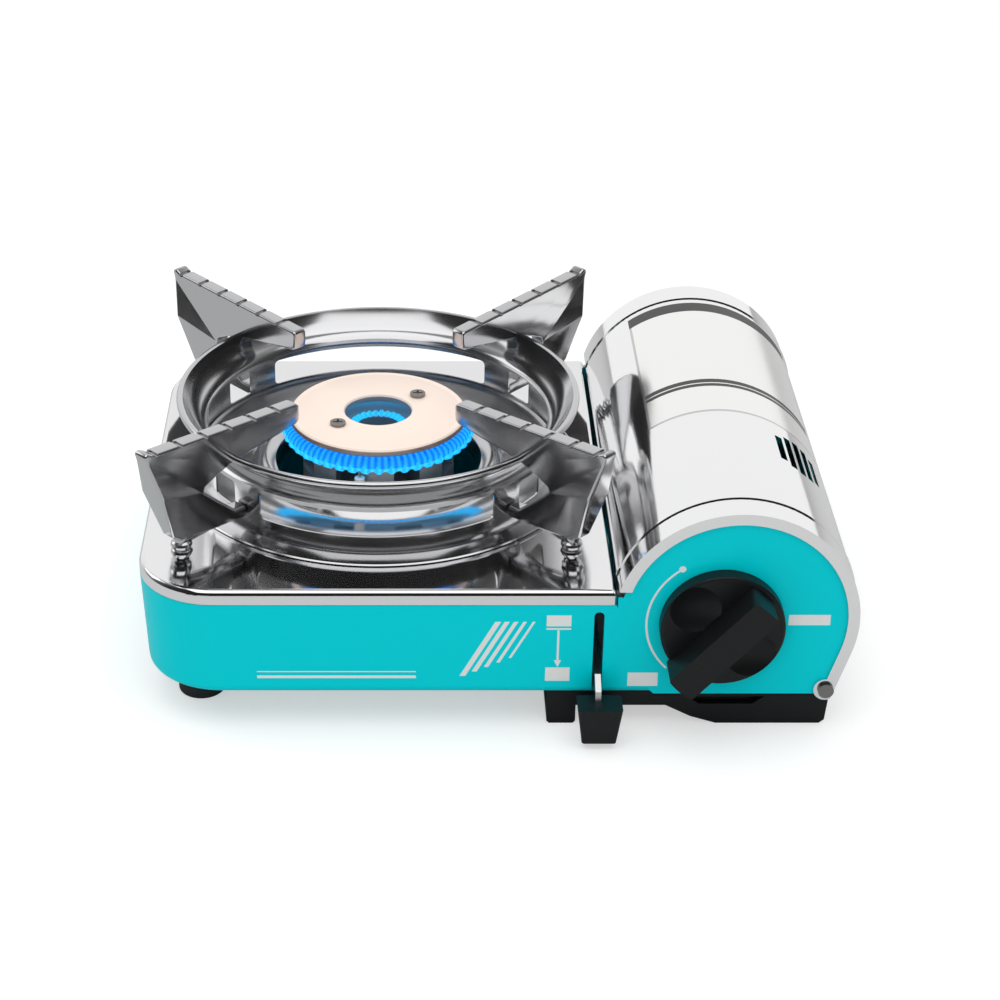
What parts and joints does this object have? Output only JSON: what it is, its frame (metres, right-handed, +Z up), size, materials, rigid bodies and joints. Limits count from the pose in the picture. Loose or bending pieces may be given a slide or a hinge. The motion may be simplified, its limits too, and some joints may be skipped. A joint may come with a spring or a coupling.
{
  "type": "cassette gas stove",
  "caption": "Portable one-burner gas stove that runs on a butane cartridge, with a lift-off pan support, hinged cartridge cover, control knob and lock lever.",
  "frame": {"origin": "middle of the stove's footprint box, on the table it stands on", "axes": "+X towards the cartridge side, -Y towards the front with the knob and lock lever, +Z up"},
  "size_m": [0.2714, 0.2253, 0.1115],
  "materials": {
    "teal_enamel": "gloss baked enamel on pressed steel",
    "mirror_steel": "mirror polished stainless sheet",
    "zinc_sheet": "zinc plated mild steel sheet",
    "burner_head": "satin machined burner head",
    "cast_alloy": "die cast alloy",
    "brass": "turned brass",
    "screw_steel": "plated steel screws and pins",
    "black_knob": "fine textured heat resistant plastic",
    "black_base": "satin moulded plastic",
    "black_rubber": "matt rubber",
    "igniter_case": "moulded igniter housing",
    "ceramic": "glazed white ceramic",
    "lead_skin": "silicone insulated lead"
  },
  "bodies": {
    "stove": {"lower_case": "teal_enamel", "top_plate": "mirror_steel", "bay_partition": "zinc_sheet", "hinge_screws": "screw_steel", "hinge_brackets": "zinc_sheet", "burner_cap": "burner_head", "port_ring": "cast_alloy", "burner_base": "cast_alloy", "cap_screws": "screw_steel", "lever_bracket": "zinc_sheet", "lever_pivot_pin": "screw_steel", "valve_body": "cast_alloy", "regulator_cap": "cast_alloy", "nozzle_seat": "brass", "nozzle_gasket": "black_rubber", "collar_guide": "zinc_sheet", "mixing_tube": "zinc_sheet", "gas_jet": "brass", "gas_pipe": "cast_alloy", "jet_bracket": "zinc_sheet", "piezo_igniter": "igniter_case", "electrode_insulator": "ceramic", "electrode_needle": "screw_steel", "electrode_bracket": "zinc_sheet", "igniter_lead": "lead_skin", "front_base_block": "black_base", "rear_base_block": "black_base", "rubber_feet": "black_rubber"},
    "pan_support": {"bowl": "mirror_steel", "drip_pan": "mirror_steel", "pan_arm_right_rear": "mirror_steel", "pan_arm_left_rear": "mirror_steel", "pan_arm_left_front": "mirror_steel", "pan_arm_right_front": "mirror_steel"},
    "cover": {"cartridge_cover": "mirror_steel"},
    "control_knob": {"knob": "black_knob", "knob_spindle": "brass"},
    "lever": {"lock_lever": "screw_steel", "lever_crank_pin": "screw_steel", "lever_tip": "black_base"},
    "carriage": {"cartridge_carriage": "zinc_sheet", "carriage_link": "zinc_sheet"}
  },
  "joints": [
    {"name": "pan_support_lift", "type": "slide", "parent": "stove", "child": "pan_support", "axis": [0, 0, 1], "range_m": [0, 0.12]},
    {"name": "cover_hinge", "type": "hinge", "parent": "stove", "child": "cover", "pos_m": [0.1251, 0.00715, 0.0179], "axis": [0, 1, 0], "range_deg": [0, 92]},
    {"name": "knob_turn", "type": "hinge", "parent": "stove", "child": "control_knob", "pos_m": [0.084, -0.09285, 0.047], "axis": [0, 1, 0], "range_deg": [0, 133]},
    {"name": "lock_lever_swing", "type": "hinge", "parent": "stove", "child": "lever", "pos_m": [0.0384, -0.04285, 0.0222], "axis": [-1, 0, 0], "range_deg": [0, 27.7]},
    {"name": "carriage_slide", "type": "slide", "parent": "stove", "child": "carriage", "axis": [0, 1, 0], "range_m": [0, 0.0062]}
  ],
  "couplings": [
    {"joint": "carriage_slide", "follows": "lock_lever_swing", "m_per_rad": 0.012377}
  ]
}
